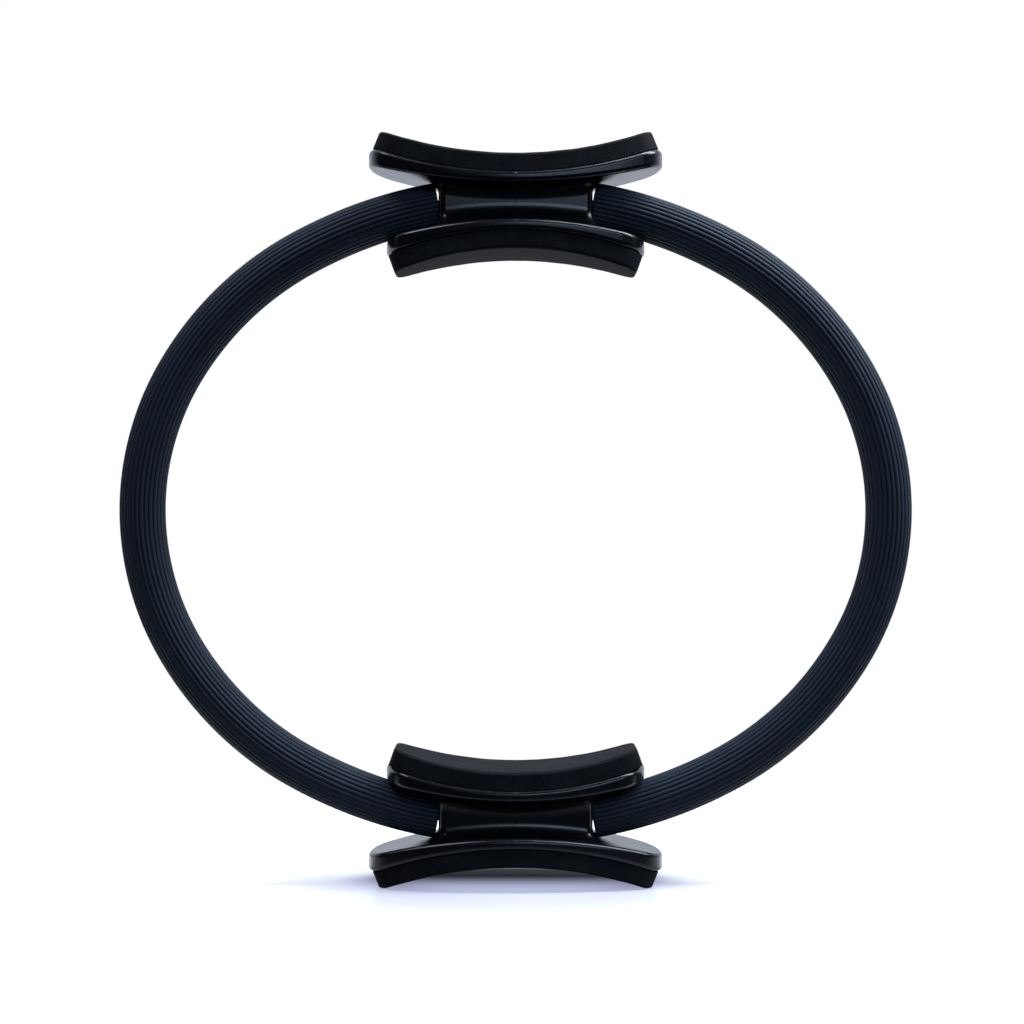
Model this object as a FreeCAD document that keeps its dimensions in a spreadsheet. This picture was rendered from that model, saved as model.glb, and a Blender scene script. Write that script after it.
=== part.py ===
import FreeCAD, Part
import math
import os
import Sketcher

# A pilates ring standing on its lower handle. Two curved spring bands in ribbed foam sleeves join
# two handles, and each handle carries a foam pad on its outer and on its inner side.
# Millimetres and degrees. The ring lies in the XZ plane, Z is up and the floor is at Z = 0.

SIZES = (
    ("crown_radius", 213.0, "centre line of the ring, next to and inside the handles"),
    ("shoulder_radius", 154.0, "centre line between the crown and the side"),
    ("side_radius", 131.0, "centre line at the ring's widest place"),
    ("crown_angle", 28.5, "where the crown ends, from the ring's upright axis"),
    ("shoulder_angle", 59.6, "where the shoulder ends, from the ring's upright axis"),
    ("band_thickness", 3.0, "spring band, across the ring"),
    ("band_width", 16.0, "spring band, along the ring's axis"),
    ("band_end", 7.0, "from the handle's middle to the end of a band"),
    ("band_clearance", 0.3, "round a band in its slot and in its sleeve"),
    ("sleeve_diameter", 22.0, "foam sleeve over its ribs"),
    ("sleeve_gap", 0.6, "from the end of the waist to the sleeve, on the centre line"),
    ("sleeve_clearance", 0.4, "round the end of a sleeve in the handle"),
    ("rib_count", 30, "ribs along the sleeve"),
    ("rib_depth", 0.7, "ribs along the sleeve"),
    ("waist_half_length", 36.6, "handle between its wings"),
    ("waist_half_width", 14.2, "handle at its narrowest"),
    ("waist_corner_radius", 3.5, "upright corners of the waist, beside the band's slot"),
    ("waist_flat", 1.2, "flat between the two hollows of a flank, in the middle"),
    ("outer_hollow_radius", 6.5, "hollow between the waist and the outer wings"),
    ("body_height", 27.5, "handle between its two pad seats, in the middle"),
    ("band_offset", 4.45, "band above the middle of the waist"),
    ("seat_radius", 180.0, "hollow curve of a pad seat"),
    ("plate_thickness", 5.2, "wings, in the middle"),
    ("wing_radius", 250.0, "curve of the wings' inner faces, flatter than the seats'"),
    ("plate_half_width", 29.0, "wings, in the middle"),
    ("outer_plate_half_length", 70.3, "wings on the outer side"),
    ("inner_plate_half_length", 61.7, "wings on the inner side"),
    ("plate_side_radius", 200.0, "long edge of the wings and pads, seen from above"),
    ("plate_end_radius", 40.0, "end of the wings, seen from above"),
    ("plate_corner_radius", 13.0, "corner of the wings, seen from above"),
    ("rim_round", 2.2, "rounded rim of the wings"),
    ("pad_thickness", 7.7, "foam pads"),
    ("pad_half_width", 27.8, "foam pads, in the middle"),
    ("outer_pad_half_length", 67.8, "outer foam pad at its seat"),
    ("inner_pad_half_length", 60.2, "inner foam pad at its seat"),
    ("pad_corner_radius", 8.0, "corner of the pads, seen from above"),
    ("pad_edge_round", 1.8, "edge of the pads"),
    ("rest_flat", 0.5, "depth of the flats that the lower pad stands on"),
    ("adhesive_thickness", 0.4, "bonding sheet under each pad"),
    ("adhesive_clearance", 0.3, "between a bonding sheet and its seat, and between it and its pad"),
    ("adhesive_inset", 3.0, "bonding sheet, back from the edge of its pad"),
    ("bolt_spacing", 36.0, "between the two bolts of a handle"),
    ("bolt_diameter", 4.0, "shank"),
    ("bolt_length", 20.0, "shank"),
    ("bolt_head_diameter", 7.6, "round head"),
    ("bolt_head_height", 2.4, "round head"),
    ("socket_across_flats", 2.5, "hexagon in the head"),
    ("socket_depth", 1.4, "hexagon in the head"),
    ("bolt_clearance", 0.3, "round the shank in the handle and in the band"),
    ("thread_clearance", 0.1, "round the shank in the nut and in the washer"),
    ("washer_diameter", 9.0, "flat washer"),
    ("washer_thickness", 0.8, "flat washer"),
    ("washer_seat", 10.4, "floor of the head's recess above the middle of the waist"),
    ("nut_across_flats", 7.0, "hexagon nut"),
    ("nut_height", 3.2, "hexagon nut"),
    ("nut_seat", 5.4, "floor of the nut's recess below the middle of the waist"),
    ("recess_clearance", 0.3, "round the washer and the nut in their recesses"),
)

# Values that follow from the sizes: the centre line's corner points, and heights above the floor.
DERIVED = (
    ("ring_half_height", "crown_radius * (1 - cos(crown_angle * 1 deg))"
     " + shoulder_radius * (cos(crown_angle * 1 deg) - cos(shoulder_angle * 1 deg))"
     " + side_radius * cos(shoulder_angle * 1 deg)"),
    ("ring_half_width", "crown_radius * sin(crown_angle * 1 deg)"
     " + shoulder_radius * (sin(shoulder_angle * 1 deg) - sin(crown_angle * 1 deg))"
     " + side_radius * (1 - sin(shoulder_angle * 1 deg))"),
    ("crown_end_x", "crown_radius * sin(crown_angle * 1 deg)"),
    ("crown_end_z", "ring_half_height - crown_radius * (1 - cos(crown_angle * 1 deg))"),
    ("shoulder_end_x", "ring_half_width - side_radius * (1 - sin(shoulder_angle * 1 deg))"),
    ("shoulder_end_z", "side_radius * cos(shoulder_angle * 1 deg)"),
    ("handle_distance", "ring_half_height - band_offset"),
    ("seat_centre", "body_height / 2 + seat_radius"),
    ("wing_centre", "body_height / 2 - plate_thickness + wing_radius"),
    ("inner_hollow_radius", "body_height - 2 * plate_thickness - waist_flat - outer_hollow_radius"),
    ("waist_half_height", "(body_height / 2 + wing_centre"
     " - sqrt(wing_radius ^ 2 - waist_half_length ^ 2)) / 2"),
    ("adhesive_base_radius", "seat_radius - adhesive_clearance"),
    ("adhesive_face_radius", "adhesive_base_radius - adhesive_thickness"),
    ("pad_base_radius", "adhesive_face_radius - adhesive_clearance"),
    ("pad_face_radius", "pad_base_radius - pad_thickness"),
    ("pad_round_radius", "pad_face_radius + pad_edge_round"),
    ("pad_tip_angle", "asin(outer_pad_half_length / pad_base_radius)"
     " - asin(pad_edge_round / pad_round_radius)"),
    ("floor_distance", "seat_centre - pad_round_radius * cos(pad_tip_angle)"
     " + pad_edge_round - rest_flat"),
    ("ring_centre_height", "handle_distance + floor_distance"),
    ("groove_radius", "sleeve_diameter / 2 - rib_depth"),
    ("rib_half_width", "groove_radius * sin(180 deg / rib_count)"),
    ("rib_rise", "sleeve_diameter / 2 - groove_radius * cos(180 deg / rib_count)"),
    ("rib_radius", "(rib_rise ^ 2 + rib_half_width ^ 2) / (2 * rib_rise)"),
)

HALF_TURN = FreeCAD.Rotation(FreeCAD.Vector(0, 1, 0), 180)
SIDE_TURN = FreeCAD.Rotation(FreeCAD.Vector(0, 0, 1), 180)
NO_TURN = FreeCAD.Rotation()
# A sketch numbers its own axes downwards from -1, and the points of a curve upwards from 1.
HORIZONTAL_AXIS, UPRIGHT_AXIS = range(-1, -3, -1)
START, END, CENTRE = range(1, 4)
NEAR_ZERO = 1e-6
TOUCHING = 1e-4

doc = FreeCAD.newDocument("pilates_ring")
sheet = doc.addObject("Spreadsheet::Sheet", "sizes")
row = 0
for alias, value, note in SIZES:
    row += 1
    sheet.set(f"A{row}", note)
    sheet.set(f"B{row}", str(value))
    sheet.setAlias(f"B{row}", alias)
for alias, formula in DERIVED:
    row += 1
    sheet.set(f"B{row}", "=" + formula)
    sheet.setAlias(f"B{row}", alias)
    doc.recompute()

subparts = []


def size(expression):
    """The number that an expression of the sheet's values gives."""
    value = sheet.evalExpression(expression)
    return float(getattr(value, "Value", value))


def new_body(label):
    body = doc.addObject("PartDesign::Body", label)
    body.Label = label
    subparts.append(body)
    return body


def sketch_on(body, name, role):
    """A sketch on one of the body's own origin planes."""
    sketch = body.newObject("Sketcher::SketchObject", f"{body.Name}_{name}")
    planes = [feature for feature in body.Origin.OriginFeatures if feature.Role == role]
    sketch.AttachmentSupport = [(planes[0], "")]
    sketch.MapMode = "FlatFace"
    return sketch


def bind(sketch, constraint, expression):
    index = sketch.addConstraint(constraint)
    sketch.setExpression(f"Constraints[{index}]", expression)


def place_point(sketch, curve, point, across, up):
    """Hold a curve's point at two distances from the sketch's origin, given as expressions."""
    distances = (("DistanceX", across, UPRIGHT_AXIS), ("DistanceY", up, HORIZONTAL_AXIS))
    for kind, expression, axis in distances:
        value = size(expression)
        if abs(value) < NEAR_ZERO:
            sketch.addConstraint(Sketcher.Constraint("PointOnObject", curve, point, axis))
        elif value > 0:
            bind(sketch, Sketcher.Constraint(kind, -1, START, curve, point, value), expression)
        else:
            bind(sketch, Sketcher.Constraint(kind, curve, point, -1, START, -value), f"-({expression})")


def add_arc(sketch, centre, radius, start, end):
    circle = Part.Circle(FreeCAD.Vector(centre[0], centre[1], 0), FreeCAD.Vector(0, 0, 1), radius)
    return sketch.addGeometry(Part.ArcOfCircle(circle, start, end), False)


def add_line(sketch, start, end):
    return sketch.addGeometry(Part.LineSegment(FreeCAD.Vector(*start, 0), FreeCAD.Vector(*end, 0)), False)


def add_circle(sketch, across, up, radius):
    """A circle whose centre and radius are expressions."""
    middle = FreeCAD.Vector(size(across), size(up), 0)
    circle = sketch.addGeometry(Part.Circle(middle, FreeCAD.Vector(0, 0, 1), size(radius)), False)
    bind(sketch, Sketcher.Constraint("Radius", circle, size(radius)), radius)
    place_point(sketch, circle, CENTRE, across, up)
    return circle


def add_hexagon(sketch, place, across_flats):
    """A hexagon about a place on the horizontal axis, with a corner towards the right."""
    reach = f"({across_flats}) / sqrt(3)"
    turns = [f"({60 * i} deg)" for i in range(6)]
    corners = [(f"{place} + {reach} * cos{turn}", f"{reach} * sin{turn}") for turn in turns]
    points = [(size(x), size(y)) for x, y in corners]
    lines = [add_line(sketch, points[i - 1], points[i]) for i in range(6)]
    for i in range(6):
        sketch.addConstraint(Sketcher.Constraint("Coincident", lines[i - 1], END, lines[i], START))
        place_point(sketch, lines[i], END, *corners[i])


def arc_between(sketch, first, last, radius):
    """The arc that runs clockwise from one place to the next, all given as expressions."""
    (x0, z0), (x1, z1) = [(size(x), size(z)) for x, z in (first, last)]
    chord = math.hypot(x1 - x0, z1 - z0)
    rise = math.sqrt(size(radius) ** 2 - chord ** 2 / 4) / chord
    centre = ((x0 + x1) / 2 + (z1 - z0) * rise, (z0 + z1) / 2 - (x1 - x0) * rise)
    angles = [math.atan2(z - centre[1], x - centre[0]) for x, z in ((x1, z1), (x0, z0))]
    arc = add_arc(sketch, centre, size(radius), *angles)
    bind(sketch, Sketcher.Constraint("Radius", arc, size(radius)), radius)
    place_point(sketch, arc, START, *last)
    return arc


def path_start_height(end_x):
    return f"sizes.ring_half_height - sizes.crown_radius + sqrt(sizes.crown_radius ^ 2 - ({end_x}) ^ 2)"


def ring_path(body, end_x):
    """The ring's centre line on one side, from the upper handle down to the lower one."""
    path = sketch_on(body, "path", "XZ_Plane")
    upper = [
        (end_x, path_start_height(end_x)),
        ("sizes.crown_end_x", "sizes.crown_end_z"),
        ("sizes.shoulder_end_x", "sizes.shoulder_end_z"),
    ]
    points = upper + [(x, f"-({z})") for x, z in reversed(upper)]
    radii = ["sizes.crown_radius", "sizes.shoulder_radius", "sizes.side_radius"]
    radii += ["sizes.shoulder_radius", "sizes.crown_radius"]
    before = None
    for first, last, radius in zip(points, points[1:], radii):
        arc = arc_between(path, first, last, radius)
        if before is None:
            place_point(path, arc, END, *first)
        else:
            path.addConstraint(Sketcher.Constraint("Coincident", before, START, arc, END))
        before = arc
    doc.recompute()
    return path


def section_sketch(body, name, end_x, height):
    """A sketch square across the ring's crown: across is the ring's axis, up is its radius."""
    section = sketch_on(body, name, "YZ_Plane")
    tilt = FreeCAD.Rotation(FreeCAD.Vector(1, 0, 0), 1)
    section.AttachmentOffset = FreeCAD.Placement(FreeCAD.Vector(), tilt)
    section.setExpression("AttachmentOffset.Base.y", height)
    section.setExpression("AttachmentOffset.Base.z", end_x)
    section.setExpression("AttachmentOffset.Rotation.Angle", f"asin(({end_x}) / sizes.crown_radius)")
    return section


def add_rectangle(sketch, half_across, half_up):
    """A rectangle about the sketch's origin, its half sizes given as expressions."""
    across, up = size(half_across), size(half_up)
    corners = [(across, up), (-across, up), (-across, -up), (across, -up)]
    lines = [add_line(sketch, corners[i], corners[(i + 1) % 4]) for i in range(4)]
    for i in range(4):
        sketch.addConstraint(Sketcher.Constraint("Coincident", lines[i], END, lines[(i + 1) % 4], START))
    for i, kind in enumerate(("Horizontal", "Vertical", "Horizontal", "Vertical")):
        sketch.addConstraint(Sketcher.Constraint(kind, lines[i]))
    place_point(sketch, lines[0], START, half_across, half_up)
    place_point(sketch, lines[2], START, f"-({half_across})", f"-({half_up})")


def add_ribs(sketch):
    """The ribbed outline of a sleeve: one bulging arc for each rib, meeting in narrow grooves."""
    count = int(size("sizes.rib_count"))
    turns = [f"(-{2 * rib + 1} * 180 deg / sizes.rib_count)" for rib in range(count)]
    grooves = [(f"sizes.groove_radius * cos{turn}", f"sizes.groove_radius * sin{turn}") for turn in turns]
    arcs = [arc_between(sketch, grooves[i - 1], grooves[i], "sizes.rib_radius") for i in range(count)]
    for i in range(count):
        sketch.addConstraint(Sketcher.Constraint("Coincident", arcs[i - 1], START, arcs[i], END))


def sweep(body, path, section, name):
    pipe = body.newObject("PartDesign::AdditivePipe", f"{body.Name}_{name}")
    pipe.Profile = section
    pipe.Spine = path
    doc.recompute()
    return pipe


def cut(body, sketch, name, both_ways=True, depth=None, upward=False):
    """A pocket: through everything, or as deep as an expression says."""
    before = body.Shape.Volume
    pocket = body.newObject("PartDesign::Pocket", f"{body.Name}_{name}")
    pocket.Profile = sketch
    pocket.SideType = "Symmetric" if both_ways else "One side"
    pocket.Reversed = upward
    if depth is None:
        pocket.Type = "ThroughAll"
    else:
        pocket.Type = "Length"
        pocket.setExpression("Length", depth)
    doc.recompute()
    if not body.Shape.Volume < before:
        raise RuntimeError(f"{pocket.Name} cuts nothing")
    return pocket


def pad_sketch(body, sketch, name, length, both_ways=False, downward=False):
    pad = body.newObject("PartDesign::Pad", f"{body.Name}_{name}")
    pad.Profile = sketch
    pad.SideType = "Symmetric" if both_ways else "One side"
    pad.Reversed = downward
    pad.setExpression("Length", length)
    doc.recompute()
    return pad


def round_edges(body, name, radius, wanted):
    """A fillet on those edges of the body that a test picks."""
    base = body.Tip
    edges = [f"Edge{i}" for i, edge in enumerate(base.Shape.Edges, 1) if wanted(edge)]
    if not edges:
        raise RuntimeError(f"{body.Name} has no edge for {name}")
    fillet = body.newObject("PartDesign::Fillet", f"{body.Name}_{name}")
    fillet.Base = (base, edges)
    fillet.setExpression("Radius", radius)
    doc.recompute()
    return fillet


def put_side(body, right):
    """Stand a side piece round the ring's centre, turned about for the left side."""
    body.Placement = FreeCAD.Placement(FreeCAD.Vector(), NO_TURN if right else SIDE_TURN)
    body.setExpression("Placement.Base.z", "sizes.ring_centre_height")


def put_handle(piece, upper, faces_up):
    """Put a piece at its handle, its own upward side turned up or down."""
    sign = "+" if upper else "-"
    piece.Placement = FreeCAD.Placement(FreeCAD.Vector(), NO_TURN if faces_up else HALF_TURN)
    piece.setExpression("Placement.Base.z", f"sizes.ring_centre_height {sign} sizes.handle_distance")


def spring_band(side):
    """One curved spring strip, its two ends drilled for the handles' bolts."""
    band = new_body(f"{side}_spring_band")
    path = ring_path(band, "sizes.band_end")
    section = section_sketch(band, "section", "sizes.band_end", path_start_height("sizes.band_end"))
    add_rectangle(section, "sizes.band_width / 2", "sizes.band_thickness / 2")
    sweep(band, path, section, "strip")
    holes = sketch_on(band, "holes", "XY_Plane")
    add_circle(holes, "sizes.bolt_spacing / 2", "0", "sizes.bolt_diameter / 2 + sizes.bolt_clearance")
    cut(band, holes, "bolt_holes")
    put_side(band, side == "right")


def foam_sleeve(side):
    """One ribbed foam sleeve, its bore fitted to the band."""
    sleeve = new_body(f"{side}_foam_sleeve")
    end = "sizes.waist_half_length + sizes.sleeve_gap"
    path = ring_path(sleeve, end)
    section = section_sketch(sleeve, "section", end, path_start_height(end))
    add_ribs(section)
    bore = [f"sizes.{name} / 2 + sizes.band_clearance" for name in ("band_width", "band_thickness")]
    add_rectangle(section, *bore)
    sweep(sleeve, path, section, "tube")
    put_side(sleeve, side == "right")


def add_barrel(sketch, half_length):
    """A plate's plan: bulging sides and ends, with round corners tangent to both."""
    long_radius, end_radius = size("sizes.plate_side_radius"), size("sizes.plate_end_radius")
    corner = size("sizes.plate_corner_radius")
    side_centre = long_radius - size("sizes.plate_half_width")
    end_centre = size(half_length) - end_radius
    # The corner's centre lies at one distance from the side's centre and at one from the end's.
    from_side, from_end = long_radius - corner, end_radius - corner
    span = math.hypot(end_centre, side_centre)
    along = (from_side ** 2 - from_end ** 2 + span ** 2) / (2 * span)
    off = math.sqrt(from_side ** 2 - along ** 2)
    ux, uy = end_centre / span, side_centre / span
    cx = along * ux + off * uy
    cy = -side_centre + along * uy - off * ux
    tilt = math.atan2(cy + side_centre, cx)
    turn = math.atan2(cy, cx - end_centre)
    half = math.pi
    # Counter-clockwise, from the right-hand end.
    arcs = [
        add_arc(sketch, (end_centre, 0), end_radius, -turn, turn),
        add_arc(sketch, (cx, cy), corner, turn, tilt),
        add_arc(sketch, (0, -side_centre), long_radius, tilt, half - tilt),
        add_arc(sketch, (-cx, cy), corner, half - tilt, half - turn),
        add_arc(sketch, (-end_centre, 0), end_radius, half - turn, half + turn),
        add_arc(sketch, (-cx, -cy), corner, half + turn, half + tilt),
        add_arc(sketch, (0, side_centre), long_radius, half + tilt, 2 * half - tilt),
        add_arc(sketch, (cx, -cy), corner, -tilt, -turn),
    ]
    for i, arc in enumerate(arcs):
        sketch.addConstraint(Sketcher.Constraint("Tangent", arc, END, arcs[(i + 1) % 8], START))
    radii = ["sizes.plate_end_radius", "sizes.plate_corner_radius"]
    radii += ["sizes.plate_side_radius", "sizes.plate_corner_radius"]
    for i, arc in enumerate(arcs):
        bind(sketch, Sketcher.Constraint("Radius", arc, size(radii[i % 4])), radii[i % 4])
    end_offset = f"{half_length} - sizes.plate_end_radius"
    side_offset = "sizes.plate_side_radius - sizes.plate_half_width"
    place_point(sketch, arcs[0], CENTRE, end_offset, "0")
    place_point(sketch, arcs[4], CENTRE, f"-({end_offset})", "0")
    place_point(sketch, arcs[2], CENTRE, "0", f"-({side_offset})")
    place_point(sketch, arcs[6], CENTRE, "0", side_offset)


def plate_side(body, name, reach, inner):
    """The side view of a plate, between its seat and the flatter curve of its wings' inner faces."""
    side = sketch_on(body, name, "XZ_Plane")
    if inner:
        side.AttachmentOffset = FreeCAD.Placement(FreeCAD.Vector(), SIDE_TURN)
    arcs = []
    heights = []
    for curve in ("seat", "wing"):
        height = f"sizes.{curve}_centre - sqrt(sizes.{curve}_radius ^ 2 - ({reach}) ^ 2)"
        arc = arc_between(side, (reach, height), (f"-({reach})", height), f"sizes.{curve}_radius")
        place_point(side, arc, END, reach, height)
        arcs.append(arc)
        heights.append(height)
    for x, point in ((reach, END), (f"-({reach})", START)):
        line = add_line(side, *[(size(x), size(height)) for height in heights])
        side.addConstraint(Sketcher.Constraint("Coincident", line, START, arcs[0], point))
        side.addConstraint(Sketcher.Constraint("Coincident", line, END, arcs[1], point))
    return side


def add_plate(body, name, inner):
    """One curved plate across the end of the waist, trimmed to its barrel-shaped plan."""
    half_length = f"sizes.{name}_plate_half_length"
    side = plate_side(body, f"{name}_plate_side", f"{half_length} + sizes.plate_thickness", inner)
    width = "2 * (sizes.plate_half_width + sizes.plate_thickness)"
    pad_sketch(body, side, f"{name}_plate", width, both_ways=True)
    plan = sketch_on(body, f"{name}_plate_plan", "XY_Plane")
    add_barrel(plan, half_length)
    margin = "2 * sizes.plate_thickness"
    add_rectangle(plan, f"{half_length} + {margin}", f"sizes.plate_half_width + {margin}")
    cut(body, plan, f"{name}_plate_trim", both_ways=False, upward=not inner)


def round_handle(body):
    """The hollows between the waist and the plates, and the bead-like rims of the plates."""
    waist_end, waist_side = size("sizes.waist_half_length"), size("sizes.waist_half_width")

    def along(edge, curve):
        centre, radius = size(f"sizes.{curve}_centre"), size(f"sizes.{curve}_radius")
        reaches = [math.hypot(corner.X, abs(corner.Z) - centre) for corner in edge.Vertexes]
        return max(abs(reach - radius) for reach in reaches) < TOUCHING

    def on_waist(edge):
        return all(abs(corner.X) < waist_end + TOUCHING and abs(corner.Y) < waist_side + TOUCHING
                   for corner in edge.Vertexes)

    def outer_joint(edge):
        return edge.BoundBox.ZMin > 0 and along(edge, "wing") and on_waist(edge)

    def inner_joint(edge):
        return edge.BoundBox.ZMax < 0 and along(edge, "wing") and on_waist(edge)

    def plate_rim(edge):
        return (along(edge, "wing") or along(edge, "seat")) and not on_waist(edge)

    round_edges(body, "outer_hollow", "sizes.outer_hollow_radius", outer_joint)
    round_edges(body, "inner_hollow", "sizes.inner_hollow_radius", inner_joint)
    round_edges(body, "rim_round", "sizes.rim_round", plate_rim)


def handle_body(handle):
    """One moulded handle: two curved plates on a waist with hollow flanks, with slots and recesses."""
    upper = handle == "upper"
    body = new_body(f"{handle}_handle_body")
    waist = sketch_on(body, "waist_plan", "XY_Plane")
    add_rectangle(waist, "sizes.waist_half_length", "sizes.waist_half_width")
    pad_sketch(body, waist, "waist", "2 * sizes.waist_half_height", both_ways=True)
    upright = lambda edge: edge.BoundBox.ZLength > NEAR_ZERO
    round_edges(body, "waist_corners", "sizes.waist_corner_radius", upright)
    add_plate(body, "outer", inner=False)
    add_plate(body, "inner", inner=True)
    round_handle(body)
    slot = sketch_on(body, "band_slot", "XZ_Plane")
    room = "(sizes.band_thickness / 2 + sizes.band_clearance)"
    for sign in ("+", "-"):
        edge_radius = f"sizes.crown_radius {sign} {room}"
        add_circle(slot, "0", "sizes.band_offset - sizes.crown_radius", edge_radius)
    cut(body, slot, "slot", depth="sizes.band_width + 2 * sizes.band_clearance")
    holes = sketch_on(body, "bolt_holes", "XY_Plane")
    heads = sketch_on(body, "head_recesses", "XY_Plane")
    heads.setExpression("AttachmentOffset.Base.z", "sizes.washer_seat")
    nuts = sketch_on(body, "nut_recesses", "XY_Plane")
    nuts.setExpression("AttachmentOffset.Base.z", "-sizes.nut_seat")
    for place in ("sizes.bolt_spacing / 2", "-sizes.bolt_spacing / 2"):
        add_circle(holes, place, "0", "sizes.bolt_diameter / 2 + sizes.bolt_clearance")
        add_circle(heads, place, "0", "sizes.washer_diameter / 2 + sizes.recess_clearance")
        add_hexagon(nuts, place, "sizes.nut_across_flats + 2 * sizes.recess_clearance")
    cut(body, holes, "bolt_bores")
    cut(body, heads, "head_bores", both_ways=False, upward=True)
    cut(body, nuts, "nut_bores", both_ways=False)
    sleeve_end = "(sizes.waist_half_length + sizes.sleeve_gap - sizes.sleeve_clearance)"
    height = f"sizes.band_offset - sizes.crown_radius + sqrt(sizes.crown_radius ^ 2 - {sleeve_end} ^ 2)"
    for name, place in (("right", sleeve_end), ("left", f"-{sleeve_end}")):
        relief = section_sketch(body, f"{name}_sleeve_relief", place, height)
        add_circle(relief, "0", "0", "sizes.sleeve_diameter / 2 + sizes.sleeve_clearance")
        cut(body, relief, f"{name}_sleeve_seat", both_ways=False, depth="2 * sizes.inner_hollow_radius",
            upward=name == "right")
    put_handle(body, upper, upper)


def bend_sketch(body, name, half_length, base_radius, face_radius):
    """The side view of a sheet bent along a pad seat, with square ends."""
    bend = sketch_on(body, name, "XZ_Plane")
    middle = size("sizes.seat_centre")
    ends = {}
    arcs = []
    for radius in (base_radius, face_radius):
        reach = f"({half_length}) * ({radius}) / ({base_radius})"
        angle = math.asin(size(reach) / size(radius))
        arc = add_arc(bend, (0, middle), size(radius), -math.pi / 2 - angle, -math.pi / 2 + angle)
        bind(bend, Sketcher.Constraint("Radius", arc, size(radius)), radius)
        ends[arc] = (reach, size(reach), middle - size(radius) * math.cos(angle))
        arcs.append(arc)
    place_point(bend, arcs[0], CENTRE, "0", "sizes.seat_centre")
    bend.addConstraint(Sketcher.Constraint("Coincident", arcs[0], CENTRE, arcs[1], CENTRE))
    for sign, point in ((-1, START), (1, END)):
        corners = [(sign * ends[arc][1], ends[arc][2]) for arc in arcs]
        line = add_line(bend, *corners)
        bend.addConstraint(Sketcher.Constraint("Coincident", line, START, arcs[0], point))
        bend.addConstraint(Sketcher.Constraint("Coincident", line, END, arcs[1], point))
        for arc in arcs:
            reach, value = ends[arc][:2]
            order = (-1, START, arc, point) if sign > 0 else (arc, point, -1, START)
            bind(bend, Sketcher.Constraint("DistanceX", *order, value), reach)
    return bend


def curved_sheet(label, half_length, half_width, base_radius, face_radius):
    """A piece bent along a pad seat, with square ends and bulging sides."""
    body = new_body(label)
    bend = bend_sketch(body, "bend", half_length, base_radius, face_radius)
    pad_sketch(body, bend, "bent_block", f"2 * ({half_width})", both_ways=True)
    sides = sketch_on(body, "sides", "XY_Plane")
    add_side_cuts(sides, half_length, half_width)
    cut(body, sides, "side_cut")
    return body


def add_side_cuts(sketch, half_length, half_width):
    """What lies outside the bulging long sides, as one closed region on each side."""
    radius = "sizes.plate_side_radius"
    reach = f"({half_length}) + sizes.pad_corner_radius"
    edge = f"({half_width}) - {radius} + sqrt({radius} ^ 2 - ({reach}) ^ 2)"
    outside = f"({half_width}) + sizes.pad_corner_radius"
    for side in (1, -1):
        sign = "" if side > 0 else "-"
        ends = [(f"-({reach})", f"{sign}({edge})"), (reach, f"{sign}({edge})")]
        far = [(x, f"{sign}({outside})") for x, unused in ends]
        first, last = ends if side > 0 else reversed(ends)
        arc = arc_between(sketch, first, last, radius)
        place_point(sketch, arc, END, *first)
        numbers = [(size(x), size(y)) for x, y in (ends[0], far[0], far[1], ends[1])]
        lines = [add_line(sketch, numbers[i], numbers[i + 1]) for i in range(3)]
        low, high = (END, START) if side > 0 else (START, END)
        sketch.addConstraint(Sketcher.Constraint("Coincident", lines[0], START, arc, low))
        sketch.addConstraint(Sketcher.Constraint("Coincident", lines[0], END, lines[1], START))
        sketch.addConstraint(Sketcher.Constraint("Coincident", lines[1], END, lines[2], START))
        sketch.addConstraint(Sketcher.Constraint("Coincident", lines[2], END, arc, high))
        place_point(sketch, lines[1], START, *far[0])
        place_point(sketch, lines[1], END, *far[1])


def foam_pad(handle, name):
    """A moulded foam pad, and flats on the one that the ring stands on."""
    upper = handle == "upper"
    outer = name == "outer"
    length = f"sizes.{name}_pad_half_length"
    body = curved_sheet(f"{handle}_{name}_pad", length, "sizes.pad_half_width",
                        "sizes.pad_base_radius", "sizes.pad_face_radius")
    middle_layer = size("sizes.pad_base_radius - sizes.pad_thickness / 2")
    bend_centre = size("sizes.seat_centre")

    def upright_corner(edge):
        box = edge.BoundBox
        return box.XMin * box.XMax > 0 and 0 < box.YLength < box.ZLength

    def on_face(edge):
        reaches = [math.hypot(vertex.X, vertex.Z - bend_centre) for vertex in edge.Vertexes]
        return max(reaches) < middle_layer

    round_edges(body, "corner_round", "sizes.pad_corner_radius", upright_corner)
    round_edges(body, "edge_round", "sizes.pad_edge_round", on_face)
    if outer and not upper:
        flats = sketch_on(body, "rest_flats", "XY_Plane")
        flats.setExpression("AttachmentOffset.Base.z", "sizes.floor_distance")
        add_rectangle(flats, length, "sizes.pad_half_width")
        cut(body, flats, "flat_cut", both_ways=False, upward=True)
    put_handle(body, upper, upper == outer)


def bonding_sheet(handle, name):
    """The thin adhesive sheet between a pad and its seat."""
    upper = handle == "upper"
    length = f"sizes.{name}_pad_half_length - sizes.adhesive_inset"
    width = "sizes.pad_half_width - sizes.adhesive_inset"
    body = curved_sheet(f"{handle}_{name}_pad_adhesive", length, width,
                        "sizes.adhesive_base_radius", "sizes.adhesive_face_radius")
    put_handle(body, upper, upper == (name == "outer"))


def cylinder(name, radius, height, place, lift):
    shape = doc.addObject("Part::Cylinder", name)
    for prop, expression in (("Radius", radius), ("Height", height)):
        shape.setExpression(prop, expression)
    shape.setExpression("Placement.Base.x", place)
    shape.setExpression("Placement.Base.z", lift)
    return shape


def hexagon(name, across_flats, height, place, lift):
    shape = doc.addObject("Part::Prism", name)
    shape.Polygon = 6
    shape.setExpression("Circumradius", f"{across_flats} / sqrt(3)")
    shape.setExpression("Height", height)
    shape.setExpression("Placement.Base.x", place)
    shape.setExpression("Placement.Base.z", lift)
    return shape


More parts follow.
